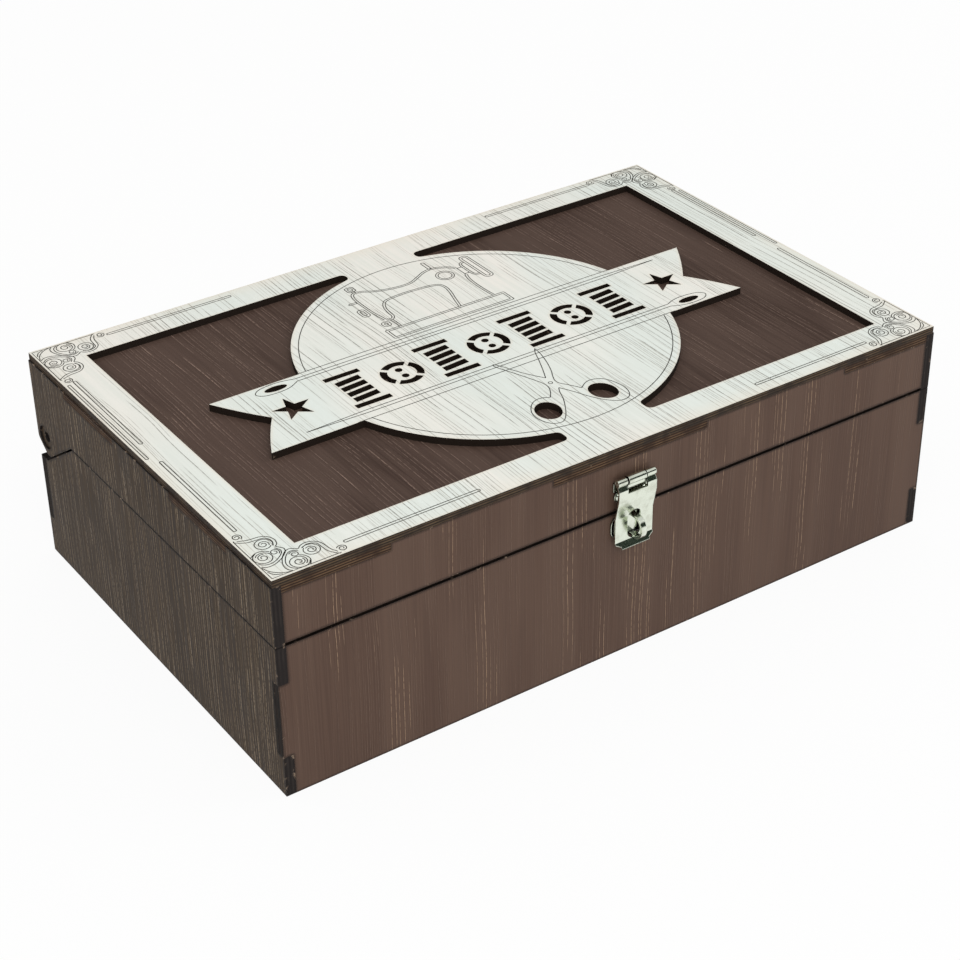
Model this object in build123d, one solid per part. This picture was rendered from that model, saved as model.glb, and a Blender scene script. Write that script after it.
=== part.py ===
from build123d import *
import os
from math import cos, radians, sin, tan

os.makedirs("parts", exist_ok=True)

# Thread spool box: finger-jointed boards, a lid on ear hinges, a fretted overlay and a hasp.
# Millimetres. X runs along the front, +Y to the back, +Z up.
# The origin is the middle of the underside of the four walls.
LENGTH = 300.0
DEPTH = 189.0
WALL = 4.0  # wall boards
PLY = 3.0  # bottom, peg board, lid top and overlay
BASE_TOP = 64.0
LID_TOP = 92.0  # face of the overlay
SIDE_SEAM = 0.3  # gap between the lid sides and the base sides
FRONT_SEAM = 1.2  # finger gap between the lid front and the base front

# Finger joints
FINGER_LOW = 17.2
FINGER_HIGH = 48.5
TAB_LENGTH = 43.0  # tabs of the lid top along the front and the back
MIDDLE_TAB = 70.0
SIDE_TAB = 41.6
SIDE_TAB_Y = 43.0

# Ear hinge
PIVOT_IN = 6.8  # from the back face
PIVOT_Z = 57.0
EAR_SLOPE = 34.0  # degrees, underside of the ear
EAR_REACH = 8.0  # from the pivot to the slope
EAR_BOTTOM = 49.2
EAR_HEEL = 54.6  # where the ear's back edge turns under
EAR_ROUND = 3.0
EAR_BORE = 5.0
EAR_GAP = 0.8  # between the ear's slope and the base side
RUN_GAP = 0.2  # between the lid sides and the hinge plates
BACK_TOP = 46.0
LID_BACK_BOTTOM = 50.5
LID_NOTCH_TOP = 63.6
PLATE_FRONT = 66.0
PLATE_SHOULDER = 44.0
PLATE_RADIUS = 6.0
DISC_RADIUS = 4.95
DISC_HOLE = 2.2
DISC_THICKNESS = 3.2

# Spool pegs
PEG_RADIUS = 2.5
PEG_TOP = 57.0
PEG_COLUMNS = 6
PEG_ROWS = 4
COLUMN_PITCH = 46.0
ROW_PITCH = 43.0
BOARD_GAP = 0.5

# Overlay
OVERLAY_INSET = 0.5  # the lid sides stand this far past it
WINDOW_X = 132.0
WINDOW_Y = 79.5
DISC_X = 1.3
DISC_Y = 0.5
DISC_OUTER = 76.0
NECK_BACK = 16.8  # half widths of the two necks that hold the disc
NECK_FRONT = 18.3
HORN_RADIUS = 2.4
BANNER_TOP = 18.5
BANNER_BOTTOM = -25.1
BANNER_MIDDLE = -3.5
TAIL_TOP = 111.3
TAIL_BOTTOM = 109.5
TAIL_NOTCH = 97.0
TAIL_BULGE = 0.6
STAR_X = 87.0
STAR_Y = -2.2
STAR_RADIUS = 8.4
EYE_LENGTH = 9.6
EYE_WIDTH = 3.6
NEEDLE_EYES = ((-85.2, 14.2), (86.0, -20.6))
GRIP_X = 12.7
GRIP_Y = -58.8
GRIP_RADII = (5.1, 6.3)
GRIP_TILT = 14.0
MOTIF_PITCH = 20.0
MOTIF_COUNT = 7
SPOOL_WIDTH = 15.5
SPOOL_HEIGHT = 26.0
SPOOL_CORE = 11.0
SPOOL_FLANGE = 4.0
THREAD_GAP = 1.3
THREAD_TURNS = 4
BUTTON_RADIUS = 8.6
BUTTON_RIM = 2.9
BUTTON_BRIDGE = 1.6
BUTTON_HOLE = 1.5
BUTTON_HOLE_OFFSET = 2.5

# Hasp and staple. OUT values are distances from the front face.
SHEET = 0.8
HASP_WIDTH = 17.2
BARREL_Z = 78.5
BARREL_OUT = 2.5
BARREL_RADIUS = 1.45
MIDDLE_RADIUS = 1.75  # the middle knuckle stands a little proud
PIN_RADIUS = 0.7
PIN_BORE = 0.75
KNUCKLE = 7.8  # middle knuckle, on the lid's leaf
KNUCKLE_GAP = 0.6
ROOT_Z = 77.6  # where the sheets leave the barrel
STRAP_ROOT = 2.9
PLATE_OUT = 4.3  # face of the strap's upper part
PLATE_TOP = 75.4
JOGGLE_TOP = 71.5
JOGGLE_BOTTOM = 62.8
STRAP_OUT = 2.4  # face of the strap's lower part
FOLD_Z = 52.5
LIP_OUT = 1.6
LIP_DROP = 2.7
LIP_WIDTH = 12.8
LIP_SHOULDER = 0.8  # from the fold to where the lip's corners are clipped
WINDOW_BOTTOM = 73.9
SLOT_WIDTH = 6.0
SLOT_HEIGHT = 12.4
SLOT_Z = 58.6
LEAF_BOTTOM = 69.0
LEAF_TOP = 77.6
LEAF_SHOULDER = 74.0
LOBE_X = 5.9  # round lobes of the leaf, one per screw
LOBE_RADIUS = 2.3
TONGUE_OUT = 3.2
TONGUE_TOP = 75.4
TONGUE_BEND = 73.4
STAPLE_Z = 58.0
STAPLE_WIDTH = 18.8
STAPLE_HEIGHT = 9.2
STAPLE_CORNER = 3.4
LOOP_WIDTH = 2.3
LOOP_SHEET = 1.0
LOOP_RADIUS = 4.8
LOOP_OUT = 8.6

HALF_X = LENGTH / 2
HALF_Y = DEPTH / 2
INNER_X = HALF_X - WALL
INNER_Y = HALF_Y - WALL
LID_INNER_X = INNER_X + RUN_GAP
WALL_TOP = LID_TOP - PLY
TOP_UNDER = WALL_TOP - PLY
FRONT = -HALF_Y
BACK = HALF_Y
PIVOT_Y = BACK - PIVOT_IN


def rect(u0, u1, v0, v1):
    return Pos((u0 + u1) / 2, (v0 + v1) / 2) * Rectangle(u1 - u0, v1 - v0)


def across(sketch, back_y, thickness):
    """Board standing along X: the sketch is (x, z) and its back face lies at back_y."""
    return extrude(Plane.XZ.offset(-back_y) * sketch, amount=thickness)


def along(sketch, left_x, thickness):
    """Board standing along Y: the sketch is (y, z) and its left face lies at left_x."""
    return extrude(Plane.YZ.offset(left_x) * sketch, amount=thickness)


def flat(sketch, bottom, thickness):
    return extrude(Plane.XY.offset(bottom) * sketch, amount=thickness)


def save(shape, node):
    export_step(shape, f"parts/{node}.step")


def save_pair(left, node):
    save(left, f"{node}_left")
    save(mirror(left, about=Plane.YZ), f"{node}_right")


# ---- base ----


def base_front():
    outline = rect(-INNER_X, INNER_X, 0, BASE_TOP)
    outline += rect(-HALF_X, HALF_X, FINGER_LOW, FINGER_HIGH)
    return across(outline, -INNER_Y, WALL)


def base_back():
    outline = rect(-INNER_X, INNER_X, 0, BACK_TOP)
    outline += rect(-HALF_X, HALF_X, FINGER_LOW, BACK_TOP)
    return across(outline, BACK, WALL)


def slope_at(z, reach):
    """Y of the ear's slope at height z, for a slope line at this distance from the pivot."""
    slope = radians(EAR_SLOPE)
    touch_y = PIVOT_Y - reach * sin(slope)
    touch_z = PIVOT_Z - reach * cos(slope)
    return touch_y - (z - touch_z) / tan(slope)


def ear_pocket():
    """Cut in the base side for the ear, with its slope parallel to the ear's."""
    reach = EAR_REACH + EAR_GAP
    corners = [
        (slope_at(BASE_TOP, reach), BASE_TOP),
        (slope_at(BACK_TOP, reach), BACK_TOP),
        (BACK, BACK_TOP),
        (BACK, BASE_TOP),
    ]
    return make_face(Polyline(*corners, close=True))


def base_side():
    outline = rect(FRONT, BACK, 0, BASE_TOP)
    outline -= rect(FRONT, -INNER_Y, FINGER_LOW, FINGER_HIGH)
    outline -= rect(INNER_Y, BACK, FINGER_LOW, BACK_TOP)
    outline -= ear_pocket()
    return along(outline, -HALF_X, WALL)


def base_bottom():
    return flat(rect(-INNER_X, INNER_X, -INNER_Y, INNER_Y), 0, PLY)


# ---- hinge ----


def hinge_plate():
    """Board glued inside the base side, rising behind the ear to carry the pivot disc."""
    corners = [
        (PLATE_FRONT, 2 * PLY),
        (INNER_Y, 2 * PLY),
        (INNER_Y, PIVOT_Z),
        (PIVOT_Y - PLATE_RADIUS, PIVOT_Z),
        (PLATE_FRONT, PLATE_SHOULDER),
    ]
    outline = make_face(Polyline(*corners, close=True))
    outline += Pos(PIVOT_Y, PIVOT_Z) * Circle(PLATE_RADIUS)
    return along(outline, -INNER_X, PLY)


def pivot_disc():
    ring = Circle(DISC_RADIUS) - Circle(DISC_HOLE)
    return along(Pos(PIVOT_Y, PIVOT_Z) * ring, -INNER_X - DISC_THICKNESS, DISC_THICKNESS)


# ---- pegs ----


def peg_board():
    half_x = INNER_X - BOARD_GAP
    half_y = INNER_Y - BOARD_GAP
    return flat(rect(-half_x, half_x, -half_y, half_y), PLY, PLY)


def peg_row(row):
    """Dowels standing on the peg board in one row along X."""
    y = (row - (PEG_ROWS - 1) / 2) * ROW_PITCH
    places = Pos(0, y) * GridLocations(COLUMN_PITCH, 1, PEG_COLUMNS, 1)
    return flat(Sketch() + [place * Circle(PEG_RADIUS) for place in places], 2 * PLY, PEG_TOP - 2 * PLY)


# ---- lid ----


def lid_side():
    """Side of the lid with its ear, which hangs down over the hinge plate."""
    bottom = BASE_TOP + SIDE_SEAM
    corners = [
        (FRONT, bottom),
        (slope_at(bottom, EAR_REACH), bottom),
        (slope_at(EAR_BOTTOM, EAR_REACH), EAR_BOTTOM),
        (PIVOT_Y, EAR_BOTTOM),
        (BACK, EAR_HEEL),
        (BACK, WALL_TOP),
        (FRONT, WALL_TOP),
    ]
    outline = make_face(Polyline(*corners, close=True))
    outline = fillet([v for v in outline.vertices() if v.Y < bottom - 1], EAR_ROUND)
    outline -= Pos(PIVOT_Y, PIVOT_Z) * Circle(EAR_BORE)
    for y in (-SIDE_TAB_Y, SIDE_TAB_Y):
        outline -= rect(y - SIDE_TAB / 2, y + SIDE_TAB / 2, TOP_UNDER, WALL_TOP)
    return along(outline, -HALF_X, WALL - RUN_GAP)


def front_tabs():
    """Spans along X where the lid top reaches through the front and back boards."""
    return (
        (-LID_INNER_X, -LID_INNER_X + TAB_LENGTH),
        (-MIDDLE_TAB / 2, MIDDLE_TAB / 2),
        (LID_INNER_X - TAB_LENGTH, LID_INNER_X),
    )


def lid_long_board(bottom):
    outline = rect(-LID_INNER_X, LID_INNER_X, bottom, WALL_TOP)
    for low, high in front_tabs():
        outline -= rect(low, high, TOP_UNDER, WALL_TOP)
    return outline


def lid_front():
    return across(lid_long_board(BASE_TOP + FRONT_SEAM), -INNER_Y, WALL)


def lid_back():
    """Back of the lid, notched at its lower corners to swing clear of the hinge plates."""
    outline = lid_long_board(LID_BACK_BOTTOM)
    clear = INNER_X - PLY - RUN_GAP
    for low, high in ((-LID_INNER_X, -clear), (clear, LID_INNER_X)):
        outline -= rect(low, high, LID_BACK_BOTTOM, LID_NOTCH_TOP)
    return across(outline, BACK, WALL)


def lid_top():
    outline = rect(-LID_INNER_X, LID_INNER_X, -INNER_Y, INNER_Y)
    for low, high in front_tabs():
        outline += rect(low, high, FRONT, BACK)
    for y in (-SIDE_TAB_Y, SIDE_TAB_Y):
        outline += rect(-HALF_X, HALF_X, y - SIDE_TAB / 2, y + SIDE_TAB / 2)
    return flat(outline, TOP_UNDER, PLY)


# ---- overlay ----


def window(side):
    """Opening of the overlay on one side, from the frame in to the disc and its two necks."""
    outer = side * WINDOW_X
    back = rect(*sorted((DISC_X + side * NECK_BACK, outer)), 0, WINDOW_Y)
    front = rect(*sorted((DISC_X + side * NECK_FRONT, outer)), -WINDOW_Y, 0)
    opening = back + front - Pos(DISC_X, DISC_Y) * Circle(DISC_OUTER) - banner()
    horns = [v for v in opening.vertices() if abs(v.X) < 2 * NECK_FRONT]
    return fillet(horns, HORN_RADIUS)


def banner():
    """Ribbon across the disc with a swallow tail at each end."""
    edges = [Line((-TAIL_TOP, BANNER_TOP), (TAIL_TOP, BANNER_TOP))]
    edges += tail_edges(1)
    edges += [Line((TAIL_BOTTOM, BANNER_BOTTOM), (-TAIL_BOTTOM, BANNER_BOTTOM))]
    edges += tail_edges(-1)
    return make_face(edges)


def tail_edges(side):
    notch = (side * TAIL_NOTCH, BANNER_MIDDLE)
    edges = []
    for tip in ((side * TAIL_TOP, BANNER_TOP), (side * TAIL_BOTTOM, BANNER_BOTTOM)):
        middle_x = (tip[0] + notch[0]) / 2 + side * TAIL_BULGE
        edges.append(ThreePointArc(tip, (middle_x, (tip[1] + notch[1]) / 2), notch))
    return edges


def star():
    inner = STAR_RADIUS * cos(radians(72)) / cos(radians(36))
    points = []
    for i in range(10):
        radius = inner if i % 2 else STAR_RADIUS
        angle = radians(90 + 36 * i)
        points.append((radius * cos(angle), radius * sin(angle)))
    return make_face(Polyline(*points, close=True))


def spool_motif():
    """Cut-out of a wound spool: two flanges, with slanted turns of thread between them."""
    flange_y = (SPOOL_HEIGHT - SPOOL_FLANGE) / 2
    shape = Pos(0, flange_y) * Rectangle(SPOOL_WIDTH, SPOOL_FLANGE)
    shape += Pos(0, -flange_y) * Rectangle(SPOOL_WIDTH, SPOOL_FLANGE)
    wound = SPOOL_HEIGHT - 2 * SPOOL_FLANGE
    pitch = wound / THREAD_TURNS
    core = SPOOL_CORE / 2
    for turn in range(THREAD_TURNS):
        low = -wound / 2 + turn * pitch + THREAD_GAP / 2
        high = low + pitch - THREAD_GAP
        lift = THREAD_GAP * 0.35
        band = [(-core, low - lift), (core, low + lift), (core, high + lift), (-core, high - lift)]
        shape += make_face(Polyline(*band, close=True))
    shape -= Pos(0, wound / 2 + THREAD_GAP / 2) * Rectangle(SPOOL_WIDTH + 1, THREAD_GAP)
    shape -= Pos(0, -wound / 2 - THREAD_GAP / 2) * Rectangle(SPOOL_WIDTH + 1, THREAD_GAP)
    return shape


def button_motif():
    """Cut-out of a button: a rim held by four bridges, and two thread holes."""
    shape = Circle(BUTTON_RADIUS) - Circle(BUTTON_RADIUS - BUTTON_RIM)
    for tilt in (45, 135):
        shape -= Rot(0, 0, tilt) * Rectangle(3 * BUTTON_RADIUS, BUTTON_BRIDGE)
    for y in (-BUTTON_HOLE_OFFSET, BUTTON_HOLE_OFFSET):
        shape += Pos(0, y) * Circle(BUTTON_HOLE)
    return shape


def banner_row():
    first = -(MOTIF_COUNT - 1) / 2 * MOTIF_PITCH
    shapes = []
    for i in range(MOTIF_COUNT):
        motif = button_motif() if i % 2 else spool_motif()
        shapes.append(Pos(first + i * MOTIF_PITCH, BANNER_MIDDLE) * motif)
    return shapes


def small_cutouts():
    shapes = [Pos(side * STAR_X, STAR_Y) * star() for side in (-1, 1)]
    shapes += [Pos(x, y) * Ellipse(EYE_LENGTH / 2, EYE_WIDTH / 2) for x, y in NEEDLE_EYES]
    for side in (-1, 1):
        grip = Rot(0, 0, side * GRIP_TILT) * Ellipse(*GRIP_RADII)
        shapes.append(Pos(DISC_X + side * GRIP_X, GRIP_Y) * grip)
    return shapes


def overlay():
    edge_x = HALF_X - OVERLAY_INSET
    outline = rect(-edge_x, edge_x, FRONT, BACK)
    for cut in [window(-1), window(1), *small_cutouts(), *banner_row()]:
        outline -= cut
    return flat(outline, WALL_TOP, PLY)


# ---- hasp and staple ----


def rod(radius, low_x, high_x):
    """Round bar along X about the hasp's pin."""
    return along(Pos(FRONT - BARREL_OUT, BARREL_Z) * Circle(radius), low_x, high_x - low_x)


def bent_strip(points):
    """Bent sheet seen from the side: points are (out, z) on its face, from the top down."""
    path = FilletPolyline(*[(FRONT - out, z) for out, z in points], radius=SHEET)
    return make_face(offset(path, amount=SHEET, side=Side.LEFT))


def lip_clip(side):
    """Cuts one lower corner of the lip, seen from the front."""
    inner = side * LIP_WIDTH / 2
    outer = side * HASP_WIDTH / 2
    shoulder = FOLD_Z - LIP_SHOULDER
    bottom = FOLD_Z - LIP_DROP
    corners = [(outer, shoulder), (inner, bottom + SHEET), (inner, bottom - SHEET), (outer, bottom - SHEET)]
    return make_face(Polyline(*corners, close=True))


def hasp_plate():
    half = HASP_WIDTH / 2
    inner = KNUCKLE / 2 + KNUCKLE_GAP
    profile = bent_strip([
        (STRAP_ROOT, ROOT_Z),
        (PLATE_OUT, PLATE_TOP),
        (PLATE_OUT, JOGGLE_TOP),
        (STRAP_OUT, JOGGLE_BOTTOM),
        (STRAP_OUT, FOLD_Z),
        (STRAP_OUT + LIP_OUT, FOLD_Z - LIP_DROP),
    ])
    strap = along(profile, -half, HASP_WIDTH)
    for low, high in ((-half, -inner), (inner, half)):
        strap += rod(BARREL_RADIUS, low, high)
    strap -= rod(PIN_BORE, -half, half)
    cuts = rect(-inner, inner, WINDOW_BOTTOM, LID_TOP)
    cuts += Pos(0, SLOT_Z) * SlotOverall(SLOT_HEIGHT, SLOT_WIDTH, rotation=90)
    for side in (-1, 1):
        cuts += lip_clip(side)
    return strap - across(cuts, FRONT, LOOP_OUT)


def hasp_leaf():
    """Leaf screwed to the lid, with a tongue that bends out to the middle knuckle."""
    half = HASP_WIDTH / 2
    outline = rect(-half, half, LEAF_SHOULDER, LEAF_TOP)
    outline += rect(-LOBE_X, LOBE_X, LEAF_BOTTOM, LEAF_SHOULDER)
    for side in (-1, 1):
        outline += Pos(side * LOBE_X, LEAF_BOTTOM + LOBE_RADIUS) * Circle(LOBE_RADIUS)
    outline -= rect(-KNUCKLE / 2, KNUCKLE / 2, TONGUE_BEND, LEAF_TOP)
    tongue = bent_strip([
        (TONGUE_OUT, ROOT_Z),
        (TONGUE_OUT, TONGUE_TOP),
        (SHEET, TONGUE_BEND),
        (SHEET, LEAF_BOTTOM),
    ])
    leaf = across(outline, FRONT, SHEET)
    leaf += along(tongue, -KNUCKLE / 2, KNUCKLE)
    leaf += rod(MIDDLE_RADIUS, -KNUCKLE / 2, KNUCKLE / 2)
    return leaf - rod(PIN_BORE, -KNUCKLE / 2, KNUCKLE / 2)


def hasp_pin():
    return rod(PIN_RADIUS, -HASP_WIDTH / 2, HASP_WIDTH / 2)


def staple_plate():
    outline = Pos(0, STAPLE_Z) * RectangleRounded(STAPLE_WIDTH, STAPLE_HEIGHT, STAPLE_CORNER)
    return across(outline, FRONT, SHEET) - staple_loop()


def loop_outline(radius):
    bend = FRONT - LOOP_OUT + LOOP_RADIUS
    outline = rect(bend, FRONT, STAPLE_Z - radius, STAPLE_Z + radius)
    outline += Pos(bend, STAPLE_Z) * Circle(radius)
    return outline & rect(bend - radius, FRONT, STAPLE_Z - radius, STAPLE_Z + radius)


def staple_loop():
    """Strip bent to a D, standing out through the staple plate."""
    outline = loop_outline(LOOP_RADIUS) - loop_outline(LOOP_RADIUS - LOOP_SHEET)
    return along(outline, -LOOP_WIDTH / 2, LOOP_WIDTH)


save(base_front(), "base_front_panel")
save(base_back(), "base_back_panel")
save(base_bottom(), "base_bottom_panel")
save_pair(base_side(), "base_side_panel")
save_pair(hinge_plate(), "hinge_plate")
save_pair(pivot_disc(), "pivot_disc")
save(peg_board(), "peg_board")
for row in range(PEG_ROWS):
    save(peg_row(row), f"spool_pegs_row_{row + 1}")
save(lid_top(), "lid_top_panel")
save(lid_front(), "lid_front_panel")
save(lid_back(), "lid_back_panel")
save_pair(lid_side(), "lid_side_panel")
save(overlay(), "lid_overlay")
save(hasp_plate(), "hasp_plate")
save(hasp_leaf(), "hasp_leaf")
save(hasp_pin(), "hasp_pin")
save(staple_plate(), "staple_plate")
save(staple_loop(), "staple_loop")
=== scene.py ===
import math

import bmesh
import bpy
from mathutils import Matrix, Vector


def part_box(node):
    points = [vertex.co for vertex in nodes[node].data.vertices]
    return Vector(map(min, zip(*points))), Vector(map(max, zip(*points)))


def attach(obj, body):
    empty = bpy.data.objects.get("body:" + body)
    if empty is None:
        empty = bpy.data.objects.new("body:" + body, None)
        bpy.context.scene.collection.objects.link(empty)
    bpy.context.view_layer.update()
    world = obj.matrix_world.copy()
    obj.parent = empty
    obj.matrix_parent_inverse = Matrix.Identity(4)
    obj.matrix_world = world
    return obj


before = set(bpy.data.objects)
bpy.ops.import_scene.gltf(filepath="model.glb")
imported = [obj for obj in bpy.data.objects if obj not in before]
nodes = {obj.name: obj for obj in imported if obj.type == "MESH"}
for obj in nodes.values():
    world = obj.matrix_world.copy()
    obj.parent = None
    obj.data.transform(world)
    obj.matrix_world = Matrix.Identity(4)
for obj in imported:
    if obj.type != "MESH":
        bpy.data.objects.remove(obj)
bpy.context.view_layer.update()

mm = 0.001


# small helpers

def plug(tree, socket, value):
    # a link from another node's socket, or a plain value
    if isinstance(value, bpy.types.NodeSocket):
        tree.links.new(value, socket)
    else:
        socket.default_value = value


def addNode(tree, kind, inputs=None, **settings):
    made = tree.nodes.new("ShaderNode" + kind)
    for name, value in settings.items():
        setattr(made, name, value)
    for socket, value in (inputs or {}).items():
        plug(tree, made.inputs[socket], value)
    return made


def maths(tree, operation, first, second=0.0, third=0.0):
    return addNode(tree, "Math", {0: first, 1: second, 2: third}, operation=operation).outputs[0]


def vectorMaths(tree, operation, first, second):
    outputs = addNode(tree, "VectorMath", {0: first, 1: second}, operation=operation).outputs
    return outputs["Value" if operation == "DOT_PRODUCT" else "Vector"]


def combine(tree, x=0.0, y=0.0, z=0.0):
    return addNode(tree, "CombineXYZ", {0: x, 1: y, 2: z}).outputs[0]


def fit(tree, value, low, high, toLow=0.0, toHigh=1.0):
    sockets = {"Value": value, "From Min": low, "From Max": high, "To Min": toLow, "To Max": toHigh}
    return addNode(tree, "MapRange", sockets, interpolation_type="SMOOTHSTEP").outputs[0]


def ramp(tree, value, low, width):
    # 0 up to low, then straight up to 1 over this width
    sockets = {"Value": value, "From Min": low, "From Max": maths(tree, "ADD", low, width)}
    return addNode(tree, "MapRange", sockets).outputs[0]


def noise(tree, place, scale=1.0, detail=2.0):
    return addNode(tree, "TexNoise", {"Vector": place, "Scale": scale, "Detail": detail}).outputs[0]


def noiseAlong(tree, place, detail):
    sockets = {"W": place, "Scale": 1.0, "Detail": detail}
    return addNode(tree, "TexNoise", sockets, noise_dimensions="1D").outputs[0]


def mixColour(tree, factor, first, second):
    return addNode(tree, "Mix", {0: factor, 6: first, 7: second}, data_type="RGBA").outputs[2]


def tint(tree, base, mask, strength, shade):
    return mixColour(tree, maths(tree, "MULTIPLY", mask, strength), base, shade)


def newGroup(name, inputs, outputs):
    tree = bpy.data.node_groups.new(name, "ShaderNodeTree")
    for label, kind in inputs:
        tree.interface.new_socket(name=label, in_out="INPUT", socket_type="NodeSocket" + kind)
    for label, kind in outputs:
        tree.interface.new_socket(name=label, in_out="OUTPUT", socket_type="NodeSocket" + kind)
    return tree, tree.nodes.new("NodeGroupInput").outputs, tree.nodes.new("NodeGroupOutput").inputs


def useGroup(tree, group, inputs):
    return addNode(tree, "Group", inputs, node_tree=group).outputs


def newMaterial(name):
    material = bpy.data.materials.new(name)
    material.use_nodes = True
    return material, material.node_tree, material.node_tree.nodes["Principled BSDF"]


def newObject(name, data):
    made = bpy.data.objects.new(name, data)
    bpy.context.scene.collection.objects.link(made)
    return made


def shapeObject(name, shape):
    # an object from a bmesh
    made = newObject(name, bpy.data.meshes.new(name))
    shape.to_mesh(made.data)
    shape.free()
    return made


def colour(red, green, blue):  # from 0-255 screen values
    steps = [value / 255 for value in (red, green, blue)]
    return tuple(v / 12.92 if v <= 0.04045 else ((v + 0.055) / 1.055) ** 2.4 for v in steps) + (1.0,)


# shared effects

grainShape = {
    "toneWidth": 24, "toneLength": 2,  # the slow tone, in streaks' widths and lengths
    "streakShift": 7.7, "toneShift": 3.1, "low": 0.36, "high": 0.64,
}


def makeGrain(shape):
    # soft streaks along Z and a slow change of tone
    tree, given, out = newGroup(
        "boardGrain",
        [("Vector", "Vector"), ("Width", "Float"), ("Length", "Float")],
        [("Streaks", "Float"), ("Tone", "Float")])

    def stretched(across, down, shift):
        wide = maths(tree, "DIVIDE", 1.0, across)
        scale = combine(tree, wide, wide, maths(tree, "DIVIDE", 1.0, down))
        place = vectorMaths(tree, "MULTIPLY", given["Vector"], scale)
        place = vectorMaths(tree, "ADD", place, (shift, shift, shift))
        return fit(tree, noise(tree, place), shape["low"], shape["high"])

    tree.links.new(stretched(given["Width"], given["Length"], shape["streakShift"]), out["Streaks"])
    toneWidth = maths(tree, "MULTIPLY", given["Width"], shape["toneWidth"])
    toneLength = maths(tree, "MULTIPLY", given["Length"], shape["toneLength"])
    tree.links.new(stretched(toneWidth, toneLength, shape["toneShift"]), out["Tone"])
    return tree


lineShape = {
    "drift": 3 * mm, "driftScale": 20.0,  # how far and how often the lines wander
    "seedStrips": 31.7, "seedPatches": 5.3,  # how far a seed shifts the strips and the patches
    "patchStrips": 6,  # strips across one patch with more or fewer lines
    "stripRun": 5.31,  # keeps the strips from breaking at the same height
    "bare": 0.72, "coverGain": -0.4, "fade": 0.1,  # noise above which a line is drawn
    "specks": 18, "faintest": 0.3,
    "shadeOffset": 0.9,  # in line widths
}


def makeLines(shape):
    # thin broken lines along Z, one to a strip, each with a dark side
    tree, given, out = newGroup(
        "grainLines",
        [("Vector", "Vector"), ("Spacing", "Float"), ("Width", "Float"), ("Length", "Float"),
         ("Cover", "Float"), ("Clump", "Float"), ("Breaks", "Float"), ("Seed", "Float")],
        [("Lines", "Float"), ("Shade", "Float")])
    spacing, width, length, seed = given["Spacing"], given["Width"], given["Length"], given["Seed"]
    x, y, z = addNode(tree, "SeparateXYZ", {0: given["Vector"]}).outputs
    drift = noise(tree, given["Vector"], shape["driftScale"], 1.0)
    across = maths(tree, "MULTIPLY_ADD", drift, shape["drift"], maths(tree, "ADD", x, y))
    strips = maths(tree, "MULTIPLY", seed, shape["seedStrips"])
    strips = maths(tree, "ADD", maths(tree, "DIVIDE", across, spacing), strips)
    strip = maths(tree, "FLOOR", strips)
    dice = addNode(tree, "TexWhiteNoise", {"W": strip}, noise_dimensions="1D").outputs["Color"]
    dice = addNode(tree, "SeparateColor", {0: dice}).outputs
    middle = maths(tree, "MULTIPLY_ADD", dice["Red"], 0.5, 0.25)  # within the middle half of the strip
    away = maths(tree, "SUBTRACT", maths(tree, "FRACT", strips), middle)
    away = maths(tree, "DIVIDE", maths(tree, "MULTIPLY", away, spacing), width)

    # patches with more or fewer lines
    wide = maths(tree, "DIVIDE", 1.0, maths(tree, "MULTIPLY", spacing, shape["patchStrips"]))
    patch = combine(tree, wide, wide, maths(tree, "DIVIDE", 0.5, length))
    patch = vectorMaths(tree, "MULTIPLY", given["Vector"], patch)
    apart = combine(tree, z=maths(tree, "MULTIPLY", seed, shape["seedPatches"]))
    crowd = noise(tree, vectorMaths(tree, "ADD", patch, apart), 1.0, 1.0)
    crowd = maths(tree, "MULTIPLY", maths(tree, "SUBTRACT", crowd, 0.5), given["Clump"])
    least = maths(tree, "MULTIPLY_ADD", given["Cover"], shape["coverGain"], shape["bare"])
    least = maths(tree, "SUBTRACT", least, crowd)

    # where along its strip a line is drawn, and its small breaks
    run = maths(tree, "MULTIPLY", strip, shape["stripRun"])
    run = maths(tree, "ADD", maths(tree, "DIVIDE", z, length), run)
    drawn = ramp(tree, noiseAlong(tree, run, 1.0), least, shape["fade"])
    specks = noiseAlong(tree, maths(tree, "MULTIPLY", run, shape["specks"]), 3.0)
    gaps = maths(tree, "MULTIPLY", fit(tree, specks, 0.56, 0.34), given["Breaks"])
    drawn = maths(tree, "MULTIPLY", drawn, maths(tree, "SUBTRACT", 1.0, gaps))
    weight = maths(tree, "MULTIPLY_ADD", dice["Blue"], 1 - shape["faintest"], shape["faintest"])
    drawn = maths(tree, "MULTIPLY", drawn, weight)
    for label, offset in (("Lines", 0.0), ("Shade", shape["shadeOffset"])):
        reach = maths(tree, "ABSOLUTE", maths(tree, "ADD", away, offset))
        tree.links.new(maths(tree, "MULTIPLY", fit(tree, reach, 0.7, 0.3), drawn), out[label])
    return tree


def makeCut():
    # 0 on the board's two faces, 1 on its laser-cut edges
    tree, given, out = newGroup("burntCut", [("Normal", "Vector"), ("Face", "Vector")], [("Cut", "Float")])
    facing = maths(tree, "ABSOLUTE", vectorMaths(tree, "DOT_PRODUCT", given["Normal"], given["Face"]))
    tree.links.new(fit(tree, facing, 0.75, 0.6), out["Cut"])
    return tree


layerShape = {"sway": 3.0, "swayScale": 70.0, "burnScale": 140.0}


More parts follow.
